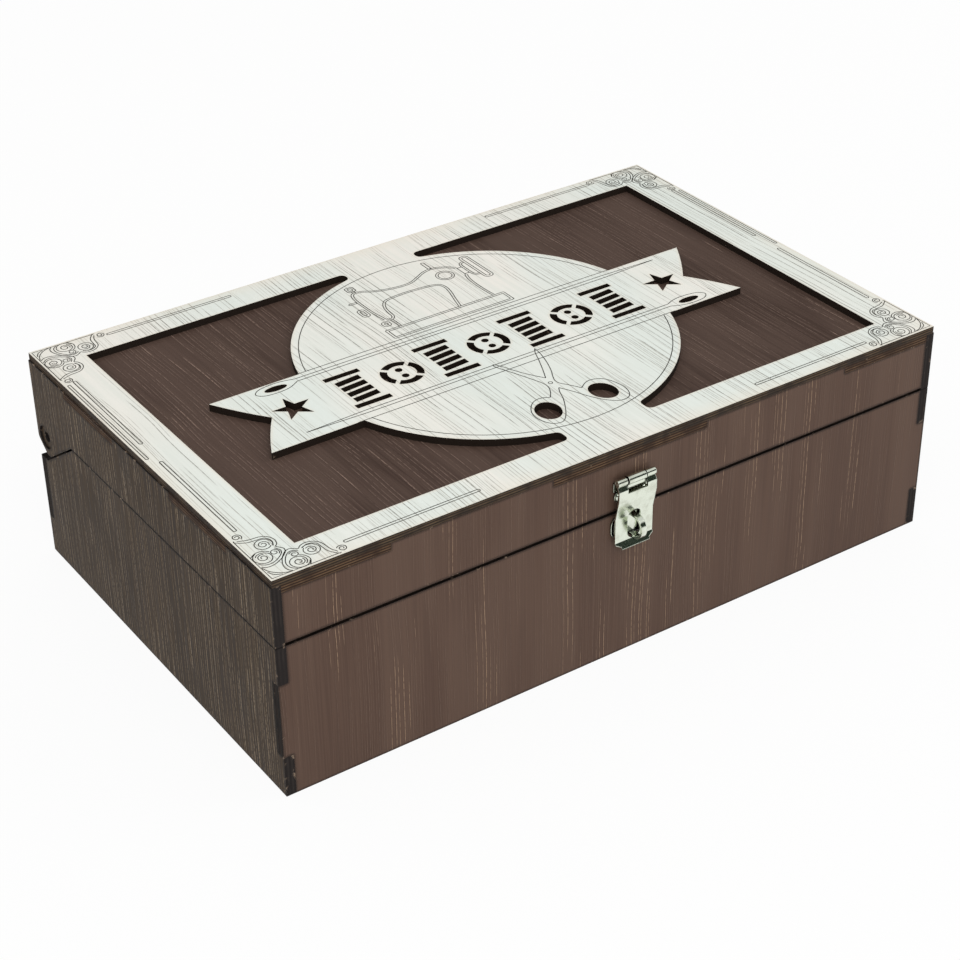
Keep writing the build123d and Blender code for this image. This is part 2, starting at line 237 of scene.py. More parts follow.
def makeLayers(shape):
    # pressed layers on a cut edge: 1 on a pale layer, 0 on a dark glue line
    tree, given, out = newGroup(
        "pressedLayers",
        [("Vector", "Vector"), ("Face", "Vector"), ("Spacing", "Float")],
        [("Layers", "Float")])
    depth = vectorMaths(tree, "DOT_PRODUCT", given["Vector"], given["Face"])
    turn = maths(tree, "DIVIDE", maths(tree, "MULTIPLY", depth, math.tau), given["Spacing"])
    sway = noise(tree, given["Vector"], shape["swayScale"])
    turn = maths(tree, "MULTIPLY_ADD", sway, shape["sway"], turn)
    pale = fit(tree, maths(tree, "SINE", turn), -0.5, 0.7)
    burn = fit(tree, noise(tree, given["Vector"], shape["burnScale"], 3.0), 0.35, 0.6, 0.25, 1.0)
    tree.links.new(maths(tree, "MULTIPLY", pale, burn), out["Layers"])
    return tree


# noise for the pale broken line along edges, partly wear and partly painted highlight
wearShape = {"wearAndHighlightScale": 420.0, "least": 0.72, "gain": 0.4, "fade": 0.08}


def makeEdgeWearAndHighlight(shape):
    # how near a sharp edge is, and a thin broken pale line along it, partly chipped wear and partly painted
    # highlight
    tree, given, out = newGroup(
        "edgeWearAndHighlight",
        [("Vector", "Vector"), ("Radius", "Float"), ("Amount", "Float")],
        [("Edge", "Float"), ("WearAndHighlight", "Float")])
    rounded = addNode(tree, "Bevel", {"Radius": given["Radius"]}, samples=4).outputs[0]
    flat = addNode(tree, "NewGeometry").outputs["True Normal"]
    edge = fit(tree, vectorMaths(tree, "DOT_PRODUCT", rounded, flat), 0.99, 0.9)
    wearAndHighlightNoise = noise(tree, given["Vector"], shape["wearAndHighlightScale"], 3.0)
    gain = maths(tree, "MULTIPLY", given["Amount"], shape["gain"])
    least = maths(tree, "SUBTRACT", shape["least"], gain)
    broken = ramp(tree, wearAndHighlightNoise, least, shape["fade"])
    tree.links.new(edge, out["Edge"])
    tree.links.new(maths(tree, "MULTIPLY", fit(tree, edge, 0.5, 0.8), broken), out["WearAndHighlight"])
    return tree


grainGroup = makeGrain(grainShape)
lineGroup = makeLines(lineShape)
cutGroup = makeCut()
layerGroup = makeLayers(layerShape)
wearGroup = makeEdgeWearAndHighlight(wearShape)


# boards

def grainLayer(tree, vector, base, look, seed):
    # one layer of printed grain lines over a colour
    words = ("spacing", "width", "length", "cover", "clump", "breaks")
    values = {word.capitalize(): look[word] for word in words}
    lines = useGroup(tree, lineGroup, dict(values, Vector=vector, Seed=seed))
    base = tint(tree, base, lines["Shade"], look["shadeStrength"], look["shade"])
    base = tint(tree, base, lines["Lines"], look["strength"], look["line"])
    return base, lines["Lines"]


def nearOutline(tree, vector, reach):
    # 1 at the overlay's outer edges, 0 a little way in
    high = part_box("lid_overlay")[1]
    place = addNode(tree, "SeparateXYZ", {0: vector}).outputs
    near = 0.0
    for along, edge in ((place["X"], high.x), (place["Y"], high.y)):
        near = maths(tree, "MAXIMUM", near, fit(tree, maths(tree, "ABSOLUTE", along), edge - reach, edge))
    return near


def boardMaterial(name, look):
    material, tree, shader = newMaterial(name)
    spot = addNode(tree, "TexCoord").outputs
    here, face = spot["Object"], look["face"]
    turned = addNode(tree, "Mapping", {"Vector": here, "Rotation": look["grainTurn"]}).outputs[0]
    streaks = {"Vector": turned, "Width": look["streakWidth"], "Length": look["streakLength"]}
    grain = useGroup(tree, grainGroup, streaks)
    cut = useGroup(tree, cutGroup, {"Normal": spot["Normal"], "Face": face})["Cut"]
    edgeMasks = useGroup(tree, wearGroup, {"Vector": here, "Radius": look["wearRadius"], "Amount": look["wear"]})

    base = mixColour(tree, grain["Tone"], look["dark"], look["light"])
    base = tint(tree, base, grain["Streaks"], look["streakStrength"], look["streak"])
    base, fineLines = grainLayer(tree, turned, base, look["fine"], 1.0)
    base, boldLines = grainLayer(tree, turned, base, look["bold"], 2.0)

    pressed = {"Vector": here, "Face": face, "Spacing": look["layerSpacing"]}
    layers = useGroup(tree, layerGroup, pressed)["Layers"]
    if "cream" in look:
        near = nearOutline(tree, here, look["creamReach"])
        blotch = fit(tree, noise(tree, here, look["blotchScale"]), 0.3, 0.6, 0.1, 0.4)
        base = tint(tree, base, near, blotch, look["cream"])
        layers = maths(tree, "MULTIPLY", layers, fit(tree, near, 0.9, 0.99))
    # painted shade, partly charring: a dark line along every sharp edge of a board, which also darkens the
    # seams between boards and the bottom edge
    base = tint(tree, base, edgeMasks["Edge"], look["rimStrength"], look["rim"])

    # cut edges: charred, with the pressed layers showing as thin lines
    burnt = mixColour(tree, layers, look["charDark"], look["charLight"])
    base = mixColour(tree, cut, base, burnt)
    # painted shade, partly charring: the cut edge is darkened further close to its own sharp edges
    base = tint(tree, base, maths(tree, "MULTIPLY", edgeMasks["Edge"], cut), look["cutEdgeScorchAndShade"], look["charDark"])
    # painted highlight, partly wear: a thin broken pale line along the edges
    base = mixColour(tree, edgeMasks["WearAndHighlight"], base, look["wearColour"])
    tree.links.new(base, shader.inputs["Base Color"])

    rough = look["roughness"]
    rough = fit(tree, grain["Streaks"], 0.0, 1.0, rough - 0.04, rough + 0.06)
    rough = maths(tree, "MULTIPLY_ADD", cut, look["cutRoughness"], rough)
    tree.links.new(rough, shader.inputs["Roughness"])
    relief = maths(tree, "MULTIPLY", grain["Streaks"], look["streakRelief"])
    relief = maths(tree, "SUBTRACT", relief, maths(tree, "ADD", fineLines, boldLines))
    ridges = maths(tree, "MULTIPLY", maths(tree, "MULTIPLY", layers, cut), look["layerRelief"])
    relief = maths(tree, "ADD", relief, ridges)
    bump = {"Height": relief, "Strength": look["bump"], "Distance": look["bumpDepth"]}
    tree.links.new(addNode(tree, "Bump", bump).outputs[0], shader.inputs["Normal"])
    shader.inputs["Specular IOR Level"].default_value = look["sheen"]
    return material


upright = (0.0, 0.0, 0.0)  # grain runs up the board
backwards = (math.radians(90), 0.0, 0.0)  # grain runs from front to back
frontFace = {"face": (0, 1, 0), "layerSpacing": 1.1 * mm}
sideFace = {"face": (1, 0, 0), "layerSpacing": 1.6 * mm}
topFace = {"face": (0, 0, 1), "layerSpacing": 1.05 * mm}
# edges of the boards: charred cut faces, a dark line along every sharp edge that is partly charring and
# partly painted shade in the seams, and a pale broken line that is partly wear and partly painted highlight
edgeCharShadeAndHighlight = {
    "charDark": colour(18, 13, 10), "charLight": colour(46, 34, 27), "cutEdgeScorchAndShade": 0.6, "cutRoughness": 0.25,
    # painted shade, partly charring: the near-black line along every sharp edge and how strongly it is laid
    "rim": colour(16, 11, 8), "rimStrength": 0.95,
    # painted highlight, partly wear: the pale colour of the broken line along the edges, and how far the edge
    # masks reach
    "wearColour": colour(146, 126, 108), "wearRadius": 2.0 * mm,
    "streakRelief": 0.3, "layerRelief": 3.0, "bumpDepth": 0.1 * mm,
}

frontBoard = dict(
    edgeCharShadeAndHighlight, **frontFace, grainTurn=upright, streakWidth=0.6 * mm, streakLength=60 * mm,
    dark=colour(83, 63, 53), light=colour(92, 72, 61), streak=colour(101, 80, 68), streakStrength=0.4,
    fine=dict(spacing=1.0 * mm, width=0.26 * mm, length=60 * mm, cover=0.55, clump=1.6, breaks=0.7,
              line=colour(118, 97, 83), strength=0.5, shade=colour(70, 52, 43), shadeStrength=0.5),
    bold=dict(spacing=1.9 * mm, width=0.26 * mm, length=60 * mm, cover=-0.02, clump=3.0, breaks=0.8,
              line=colour(165, 137, 112), strength=0.85, shade=colour(56, 40, 32), shadeStrength=0.6),
    roughness=0.52, bump=0.25, sheen=0.15, wear=0.15)
sideBoard = dict(
    frontBoard, **sideFace, streakWidth=0.9 * mm, streakLength=30 * mm,
    dark=colour(46, 34, 24), light=colour(58, 45, 33), streak=colour(76, 62, 47), streakStrength=0.7,
    fine=dict(spacing=1.6 * mm, width=0.5 * mm, length=36 * mm, cover=0.95, clump=0.8, breaks=0.8,
              line=colour(120, 103, 83), strength=0.95, shade=colour(32, 24, 18), shadeStrength=1.0),
    bold=dict(spacing=3.7 * mm, width=0.55 * mm, length=30 * mm, cover=0.5, clump=1.2, breaks=0.8,
              line=colour(150, 132, 110), strength=0.85, shade=colour(32, 25, 20), shadeStrength=0.8),
    sheen=0.08)
sideBoard.update(charDark=colour(40, 36, 35), charLight=colour(50, 45, 43), wear=0.3)
# the lid's top panel, the floor of the overlay's windows: its browns are darker than the front boards', and
# this darkening is painted shade of the recess
lidBoard = dict(
    frontBoard, **topFace, grainTurn=backwards, streakWidth=1.0 * mm, streakLength=50 * mm,
    dark=colour(68, 52, 45), light=colour(84, 67, 59), streak=colour(91, 73, 64), streakStrength=0.55,
    fine=dict(spacing=1.7 * mm, width=0.36 * mm, length=50 * mm, cover=0.65, clump=0.7, breaks=0.8,
              line=colour(126, 105, 94), strength=0.8, shade=colour(54, 40, 35), shadeStrength=0.5),
    bold=dict(spacing=5.2 * mm, width=0.36 * mm, length=40 * mm, cover=0.3, clump=0.9, breaks=0.8,
              line=colour(156, 131, 117), strength=0.85, shade=colour(52, 38, 33), shadeStrength=0.5))
lidBoard.update(charDark=colour(50, 36, 28), charLight=colour(102, 79, 58))
hingeBoard = dict(sideBoard, dark=colour(38, 31, 27), light=colour(50, 41, 35), streak=colour(58, 48, 41))
rawBoard = dict(
    frontBoard, **topFace, grainTurn=backwards, streakWidth=0.5 * mm, streakLength=7 * mm,
    dark=colour(168, 134, 98), light=colour(184, 150, 112), streak=colour(150, 116, 82), streakStrength=0.5,
    fine=dict(spacing=0.9 * mm, width=0.22 * mm, length=6 * mm, cover=0.5, clump=0.6, breaks=0.8,
              line=colour(132, 100, 70), strength=0.6, shade=colour(150, 118, 84), shadeStrength=0.3),
    bold=dict(spacing=7.0 * mm, width=0.6 * mm, length=60 * mm, cover=0.4, clump=0.8, breaks=0.8,
              line=colour(150, 116, 80), strength=0.5, shade=colour(150, 118, 84), shadeStrength=0.2),
    roughness=0.6)
whiteBoard = dict(
    edgeCharShadeAndHighlight, **topFace, grainTurn=backwards, streakWidth=2.2 * mm, streakLength=60 * mm,
    dark=colour(232, 238, 231), light=colour(244, 240, 231), streak=colour(222, 226, 217), streakStrength=0.4,
    fine=dict(spacing=1.5 * mm, width=0.32 * mm, length=60 * mm, cover=0.65, clump=1.4, breaks=0.35,
              line=colour(164, 162, 152), strength=0.85, shade=colour(220, 219, 209), shadeStrength=0.3),
    bold=dict(spacing=2.8 * mm, width=0.34 * mm, length=60 * mm, cover=0.42, clump=2.0, breaks=0.35,
              line=colour(100, 95, 86), strength=0.88, shade=colour(208, 206, 196), shadeStrength=0.3),
    roughness=0.45, bump=0.12, sheen=0.25, wear=0.05,
    cream=colour(238, 229, 213), creamReach=9 * mm, blotchScale=25.0)
# on the overlay the line along every edge is a cream tint, partly scorch and partly painted shade
whiteBoard.update(
    charDark=colour(36, 26, 19), charLight=colour(90, 72, 51), rim=colour(232, 220, 202), rimStrength=0.6)

boardFinish = {
    "brownFront": (frontBoard, ["base_front_panel", "base_back_panel", "lid_front_panel", "lid_back_panel"]),
    "brownSide": (sideBoard, ["base_side_panel_left", "base_side_panel_right", "lid_side_panel_left",
                              "lid_side_panel_right", "pivot_disc_left", "pivot_disc_right"]),
    "brownLid": (lidBoard, ["lid_top_panel"]),
    "darkHinge": (hingeBoard, ["hinge_plate_left", "hinge_plate_right"]),
    "rawInside": (rawBoard, ["base_bottom_panel", "peg_board"]),
    "whiteOverlay": (whiteBoard, ["lid_overlay"]),
}


def dress(names, material):
    for name in names:
        for slot in nodes[name].material_slots:
            slot.material = material


for title, (look, names) in boardFinish.items():
    dress(names, boardMaterial(title, look))
print("boards dressed")


# pegs

pegLook = {
    "pale": colour(206, 170, 122), "deep": colour(176, 134, 88),
    "pore": colour(128, 92, 58), "poreStrength": 0.8,
    "grain": {"Width": 0.4 * mm, "Length": 9 * mm},
    "pores": {"Spacing": 0.8 * mm, "Width": 0.14 * mm, "Length": 5 * mm,
              "Cover": 0.6, "Clump": 0.4, "Breaks": 0.5},
    "roughness": 0.5, "bump": 0.3, "bumpDepth": 0.1 * mm,
}


def dowelMaterial(look):
    material, tree, shader = newMaterial("beechDowel")
    here = addNode(tree, "TexCoord").outputs["Object"]
    grain = useGroup(tree, grainGroup, dict(look["grain"], Vector=here))
    pores = useGroup(tree, lineGroup, dict(look["pores"], Vector=here, Seed=3.0))
    base = mixColour(tree, grain["Streaks"], look["pale"], look["deep"])
    base = tint(tree, base, pores["Lines"], look["poreStrength"], look["pore"])
    tree.links.new(base, shader.inputs["Base Color"])
    shader.inputs["Roughness"].default_value = look["roughness"]
    bump = {"Height": grain["Streaks"], "Strength": look["bump"], "Distance": look["bumpDepth"]}
    tree.links.new(addNode(tree, "Bump", bump).outputs[0], shader.inputs["Normal"])
    return material


dress([name for name in nodes if name.startswith("spool_pegs")], dowelMaterial(pegLook))
print("pegs dressed")


# hasp

nickelLook = {
    "bright": colour(226, 232, 217), "dull": colour(204, 208, 192),
    # painted shade: a near-black colour for the metal's gaps and hollows, and how near a surface must be to
    # darken it
    "paintedCreviceShade": colour(26, 29, 23), "paintedShadeReach": 2.2 * mm,
    "roughness": 0.16, "stainRoughness": 0.08, "scratchRoughness": 0.06,
    "stainScale": 220.0, "scratchScale": (2500, 2500, 180),
    "edgeRadius": 0.35 * mm, "bump": 0.1, "bumpDepth": 0.03 * mm,
}


def nickelMaterial(name, look):
    material, tree, shader = newMaterial(name)
    shader.inputs["Metallic"].default_value = 1.0
    here = addNode(tree, "TexCoord").outputs["Object"]
    stain = noise(tree, here, look["stainScale"], 4.0)
    rubbed = addNode(tree, "Mapping", {"Vector": here, "Scale": look["scratchScale"]}).outputs[0]
    scratch = noise(tree, rubbed)
    # painted shade: where ambient occlusion finds surfaces close by, as between the knuckles, around the
    # screws and inside the slot, the base colour is darkened towards near-black
    paintedCreviceShade = addNode(tree, "AmbientOcclusion", {"Distance": look["paintedShadeReach"]}, samples=12).outputs["AO"]
    base = mixColour(tree, fit(tree, stain, 0.45, 0.75), look["bright"], look["dull"])
    base = mixColour(tree, fit(tree, paintedCreviceShade, 0.8, 0.42), base, look["paintedCreviceShade"])
    tree.links.new(base, shader.inputs["Base Color"])
    rough = look["roughness"]
    rough = maths(tree, "MULTIPLY_ADD", fit(tree, stain, 0.45, 0.8), look["stainRoughness"], rough)
    rough = maths(tree, "MULTIPLY_ADD", fit(tree, scratch, 0.6, 0.75), look["scratchRoughness"], rough)
    tree.links.new(rough, shader.inputs["Roughness"])
    rounded = addNode(tree, "Bevel", {"Radius": look["edgeRadius"]}, samples=6).outputs[0]
    bump = {"Height": scratch, "Strength": look["bump"], "Distance": look["bumpDepth"], "Normal": rounded}
    tree.links.new(addNode(tree, "Bump", bump).outputs[0], shader.inputs["Normal"])
    return material


nickel = nickelMaterial("polishedNickel", nickelLook)
dress(["hasp_plate", "hasp_leaf", "hasp_pin", "staple_plate", "staple_loop"], nickel)
print("hasp dressed")


# engraved lines on the overlay, in millimetres seen from above

engraving = {"line": 0.36, "lift": 0.04, "top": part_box("lid_overlay")[1].z}


def straight(*points):
    return [Vector(point) for point in points]


def smooth(points, steps=7):
    # a curve through all of the points
    out = []
    last = len(points) - 1
    for i in range(last):
        a, b, c, d = (Vector(points[min(max(k, 0), last)]) for k in (i - 1, i, i + 1, i + 2))
        for step in range(steps):
            t = step / steps
            out.append(b + (c - a) * 0.5 * t + (a - b * 2.5 + c * 2 - d * 0.5) * t * t
                       + (b * 1.5 - a * 0.5 - c * 1.5 + d * 0.5) * t ** 3)
    out.append(Vector(points[-1]))
    return out


def curl(centre, outer, inner, start, turns):
    steps = max(8, int(abs(turns) * (22 + outer)))  # more on a large one
    points = []
    for i in range(steps + 1):
        part = i / steps
        angle = math.radians(start) + math.tau * turns * part
        reach = outer + (inner - outer) * part
        points.append(Vector(centre) + Vector((math.cos(angle), math.sin(angle))) * reach)
    return points


def ring(centre, radius, start=0, sweep=360):
    return curl(centre, radius, radius, start, sweep / 360)


def bar(x0, y0, x1, y1, rounding, steps=4):
    # the outline of a bar with rounded corners
    left, right, low, high = x0 + rounding, x1 - rounding, y0 + rounding, y1 - rounding
    points = []
    for x, y, start in ((right, high, 0), (left, high, 90), (left, low, 180), (right, low, 270)):
        for i in range(steps + 1):
            turn = math.radians(start + 90 / steps * i)
            points.append(Vector((x + rounding * math.cos(turn), y + rounding * math.sin(turn))))
    return points + [points[0]]


def beside(points, distance):
    # the same path, moved sideways
    out = []
    for i, point in enumerate(points):
        heading = (points[min(i + 1, len(points) - 1)] - points[max(i - 1, 0)]).normalized()
        out.append(point + Vector((-heading.y, heading.x)) * distance)
    return out


def double(points, gap=1.0):
    # two lines, one on each side of a curve
    path = smooth(points)
    return [beside(path, gap / 2), beside(path, -gap / 2)]


# half of a corner's scrollwork, its corner at (0, 0); the other half mirrors it on the diagonal
cornerHalf = [
    curl((3.1, 29.1), 1.9, 0.5, -60, 1.6),
    smooth([(1.2, 27.6), (1.1, 26.6), (4.3, 24.4), (7.8, 23.9), (10.3, 23.6), (11.6, 22.2), (11.9, 20.1),
            (10.9, 18.0)]),
    smooth([(2.2, 26.9), (5.3, 25.6), (9.8, 25.0), (12.2, 23.2), (13.1, 20.6), (12.5, 18.2), (11.4, 16.9),
            (12.2, 15.7), (13.0, 14.3), (12.6, 12.6), (11.2, 11.0), (9.0, 9.3), (5.8, 7.8), (3.0, 7.7),
            (1.3, 8.9)]),
    curl((8.4, 20.2), 3.4, 2.7, -40, 1.0),
    curl((8.4, 20.2), 2.1, 0.6, -40, 1.5),
    curl((4.6, 13.3), 3.7, 2.7, 110, 1.1),
    curl((4.6, 13.3), 2.1, 0.7, 60, 1.4),
    smooth([(1.0, 15.6), (3.8, 17.2), (6.6, 16.7), (8.0, 15.2)]),
    smooth([(1.3, 10.9), (3.2, 9.2), (5.8, 9.0), (8.6, 10.3), (10.8, 12.2), (11.6, 13.8), (11.2, 15.2),
            (10.4, 16.3)]),
    curl((9.3, 14.1), 1.8, 0.6, -60, 1.4),
]
cornerMiddle = [
    smooth([(1.2, 8.4), (1.9, 5.9), (3.6, 3.6), (5.9, 1.9), (8.4, 1.2)]),
    smooth([(1.5, 5.2), (2.8, 2.8), (5.2, 1.5)]),
]


def cornerScroll():
    strokes = list(cornerMiddle)
    for stroke in cornerHalf:
        strokes.append(stroke)
        strokes.append([Vector((point.y, point.x)) for point in stroke])
    return strokes


def cornerStrokes():
    low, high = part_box("lid_overlay")
    strokes = []
    for sideX, edgeX in ((1, low.x), (-1, high.x)):
        for sideY, edgeY in ((1, low.y), (-1, high.y)):
            for stroke in cornerScroll():
                strokes.append([Vector((edgeX / mm + sideX * p.x, edgeY / mm + sideY * p.y)) for p in stroke])
    return strokes


border = {
    "insetX": 0.9, "insetY": 1.1, "reach": 26,  # the fine line beside each corner's scrolls
    "edgeGap": 0.2, "edgeWidth": 1.1, "edgeEnds": (-3, 62), "edgeRounding": 0.5,  # slot beside each side edge
    "slotWidth": 1.3, "slotRounding": 0.6,
    "alongFront": ((-118, -62.5), (63, 119)), "alongFrontY": (89.4, -89.2),
    "alongSide": ((7.8, 63.7), (-61.8, -7.0)), "alongSideX": (-145.4, 144.6),
}


def borderStrokes(look):
    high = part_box("lid_overlay")[1]
    x, y = high.x / mm - look["insetX"], high.y / mm - look["insetY"]
    strokes = []
    for sideX in (-1, 1):
        for sideY in (-1, 1):
            inX, inY = sideX * (x - look["reach"]), sideY * (y - look["reach"])
            strokes.append(straight((inX, sideY * y), (sideX * x, sideY * y), (sideX * x, inY)))
    gap, width = look["edgeGap"], look["edgeWidth"]
    start, end = look["edgeEnds"]
    for x0 in (gap - x, x - gap - width):
        strokes.append(bar(x0, start, x0 + width, end, look["edgeRounding"]))
    width, rounding = look["slotWidth"], look["slotRounding"]
    for x0, x1 in look["alongFront"]:
        strokes += [bar(x0, y0, x1, y0 + width, rounding) for y0 in look["alongFrontY"]]
    for x0 in look["alongSideX"]:
        strokes += [bar(x0, y0, x0 + width, y1, rounding) for y0, y1 in look["alongSide"]]
    return strokes


disc = {
    "centre": (1.3, 0.5), "radius": 73, "stopOver": 18.6, "stopUnder": 25.4,  # the ring stops at the ribbon
    "ribbonEnds": (-73, 75.5), "ribbonEdges": (18.9, -25.1),
}


def discStrokes(look):
    centre, radius = look["centre"], look["radius"]
    over, under = (math.degrees(math.asin(look[key] / radius)) for key in ("stopOver", "stopUnder"))
    strokes = [ring(centre, radius, over, 180 - 2 * over), ring(centre, radius, 180 + under, 180 - 2 * under)]
    left, right = look["ribbonEnds"]
    return strokes + [straight((left, y), (right, y)) for y in look["ribbonEdges"]]


needle = {
    "head": 9.5, "halfWidth": 1.0, "taper": 26,
    "eye": ((5, 3.2), (0, 3.6), (-6, 2.6), (-8.6, 0), (-6, -2.6), (0, -3.2), (5, -2.4)),  # round its middle
}
needlePlaces = ((-85.2, 14.2, 15.3, 96), (86.0, -20.6, -20.1, -92))  # eye X, eye Y, shaft Y, tip X


def needleStrokes(look, eyeX, eyeY, shaftY, tipX):
    side = math.copysign(1, tipX)
    head, near = eyeX + side * look["head"], tipX - side * look["taper"]
    half = look["halfWidth"]
    eye = [(eyeX + side * x, eyeY + y) for x, y in look["eye"]]
    strokes = [smooth([(head, shaftY + half)] + eye + [(head, shaftY - half)])]
    for lift in (half, -half):
        strokes.append(straight((head, shaftY + lift), (near, shaftY + lift), (tipX, shaftY)))
    return strokes


machine = {
    "body": [(-22.4, 36.2), (-23.4, 44), (-23.6, 55), (-22.8, 60.3), (-21, 62.4), (-17.5, 61.9), (-14, 59.8),
             (-10, 58.2), (-5, 57), (0, 56.6), (4, 57.3), (8, 59.4), (12, 61.5), (16, 62.4), (20, 61.4),
             (23.5, 59.2), (25.3, 57.2)],
    "back": [(25.6, 49.9), (24.5, 46), (24, 40), (24.2, 32), (24.6, 28.6)],
    "arch": [(-22.2, 35.8), (-19.8, 35.3), (-18.3, 37), (-17.9, 41), (-17.1, 45), (-15, 48.6), (-12, 50.1),
             (-4, 50.8), (4, 50.4), (9, 49.7), (11.8, 48), (12.4, 44.5), (11.5, 40), (9.8, 34.5), (8.7, 30.5),
             (8.1, 28.5)],
    "needleBar": [(-20.4, 35), (-20.2, 31.5), (-20.2, 28.5)],
    "wheelGuard": [(30.9, 60.2), (28.7, 58.6), (28.4, 53.5), (28.7, 48.6), (30.9, 47.3)],
}
machineBars = [  # left, low, right, high and rounding
    (-27.6, 20.7, 29.4, 28.3, 0.6), (-26.5, 21.8, 28.3, 27.2, 0.4),  # bed
    (-22.4, 64.1, -18.6, 68, 0.9), (-21.4, 65, -19.6, 67.1, 0.4),  # knob on top
    (15.6, 62.5, 17, 69.2, 0.7), (-27.8, 54.4, -24.2, 55.5, 0.5),  # spool pin and thread lever
    (-28.4, 42.3, -25, 48.8, 1.3), (-27.4, 43.5, -26, 47.6, 0.6),  # tension dial
    (-25.8, 30.9, -22.3, 34.6, 1.2), (-24.7, 31.9, -23.4, 33.6, 0.5),  # clamp of the needle
    (31, 42.9, 35.2, 64.3, 1.7), (32.1, 44, 34.1, 63.2, 0.9),  # hand wheel
]


def machineStrokes():
    strokes = []
    for path in machine.values():
        strokes += double(path)
    strokes += double([(-20.5, 62.6), (-20.5, 64.1)], 1.2)  # the knob's neck
    strokes += [bar(*place) for place in machineBars]
    strokes += [ring((18.1, 54.2), radius) for radius in (3.9, 2.9)]
    strokes.append(straight((25.6, 57.2), (25.6, 49.9)))
    strokes += [straight((25.8, y), (28, y)) for y in (50.7, 56.6)]  # the wheel's axle
    return strokes


scissors = {
    "rightBlade": [(2.0, -38.6), (5.0, -32.4), (8.0, -25.7), (10.2, -20.4), (11.9, -17.6)],
    "rightBladeBack": [(11.9, -17.6), (11.4, -22), (9.6, -28.6), (7.0, -35.2), (5.1, -38.8), (3.8, -41.8),
                       (3.7, -44.2)],
    "leftHandle": [(1.7, -47.4), (0.2, -50), (-2, -55.4), (-5.6, -61.6), (-8.9, -66.1), (-12, -68.3),
                   (-15.6, -67.1), (-17.7, -63.1), (-17.9, -58.6), (-16.3, -54.6), (-13.2, -51.1),
                   (-10, -49.8), (-7.5, -50.1), (-5.2, -51.4)],
    "leftNeck": [(-5.2, -51.4), (-3.0, -48.6), (-1.2, -44.8), (-1.2, -41.6), (-2.1, -38.5), (-4.2, -32.6),
                 (-6.8, -25.8), (-8.8, -20.4), (-8.4, -18.6)],
    "leftBladeBack": [(-8.4, -18.6), (-6.6, -21.6), (-3.2, -29.8), (-0.2, -35.2), (2.0, -38.6)],
    "rightHandle": [(1.7, -47.4), (4.3, -52.6), (7.6, -60.1), (11.1, -65.4), (15.1, -68.4), (19.1, -67.9),
                    (21.4, -64.6), (22, -60), (20.8, -54.6), (18.6, -51.2), (15.1, -49.7), (12, -50.2),
                    (8.6, -52.5)],
    "rightNeck": [(8.6, -52.5), (6.4, -48.6), (4.4, -45.6), (3.7, -44.2)],
}


def scissorStrokes():
    return [smooth(path) for path in scissors.values()] + [ring((1.3, -42.6), 0.8)]


def lineMesh(name, strokes, look):
    # flat ribbons just over the overlay's face
    half = look["line"] / 2
    height = look["top"] + look["lift"] * mm
    shape = bmesh.new()
    for stroke in strokes:
        left, right = ([shape.verts.new((p.x * mm, p.y * mm, height)) for p in beside(stroke, side)]
                       for side in (half, -half))
        for i in range(len(stroke) - 1):
            shape.faces.new((right[i], right[i + 1], left[i + 1], left[i]))
    return shapeObject(name, shape)


scorchLook = {"dark": colour(38, 36, 31), "pale": colour(86, 82, 73), "patchScale": 180.0, "roughness": 0.85}


def scorchMaterial(look):
    material, tree, shader = newMaterial("scorchedLine")
    uneven = noise(tree, addNode(tree, "TexCoord").outputs["Object"], look["patchScale"], 3.0)
    base = mixColour(tree, fit(tree, uneven, 0.35, 0.68), look["dark"], look["pale"])
    tree.links.new(base, shader.inputs["Base Color"])
    shader.inputs["Roughness"].default_value = look["roughness"]
    return material


scorched = scorchMaterial(scorchLook)
engravedPieces = {
    "engravedCorners": cornerStrokes(),
    "engravedBorder": borderStrokes(border),
    "engravedDisc": discStrokes(disc),
    "engravedNeedles": [stroke for place in needlePlaces for stroke in needleStrokes(needle, *place)],
    "engravedMachine": machineStrokes(),
    "engravedScissors": scissorStrokes(),
}
for title, strokes in engravedPieces.items():
    piece = lineMesh(title, strokes, engraving)
    piece.data.materials.append(scorched)
    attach(piece, "lid")
print("overlay engraved")


# screws of the hasp leaf and the staple plate

leafScrewLook = {
    "radius": 1.9 * mm, "height": 1.2 * mm, "recess": 0.55 * mm, "arm": 1.1 * mm, "slotWidth": 0.5 * mm,
    # the dome's outline, in shares of radius and height
    "dome": [(0.0, 1.0), (0.35, 0.97), (0.65, 0.84), (0.88, 0.55), (1.0, 0.2), (1.0, 0.0)],
    "sides": 32, "sharpFrom": math.radians(35),
}
stapleScrewLook = dict(leafScrewLook, radius=1.7 * mm, height=0.5 * mm, recess=0.35 * mm, arm=1.0 * mm)
screwPlaces = {"leafX": 5.9 * mm, "overLeafEnd": 2.3 * mm, "stapleX": 6.4 * mm}


def screwDome(name, look):
    shape = bmesh.new()
    verts = [shape.verts.new((r * look["radius"], 0, h * look["height"])) for r, h in look["dome"]]
    edges = [shape.edges.new(pair) for pair in zip(verts, verts[1:])]
    around = {"axis": (0, 0, 1), "cent": (0, 0, 0), "angle": math.tau, "steps": look["sides"]}
    bmesh.ops.spin(shape, geom=verts + edges, **around)
    bmesh.ops.remove_doubles(shape, verts=shape.verts, dist=0.001 * mm)
    bmesh.ops.contextual_create(shape, geom=[edge for edge in shape.edges if edge.is_boundary])
    bmesh.ops.recalc_face_normals(shape, faces=shape.faces)
    return shapeObject(name, shape)


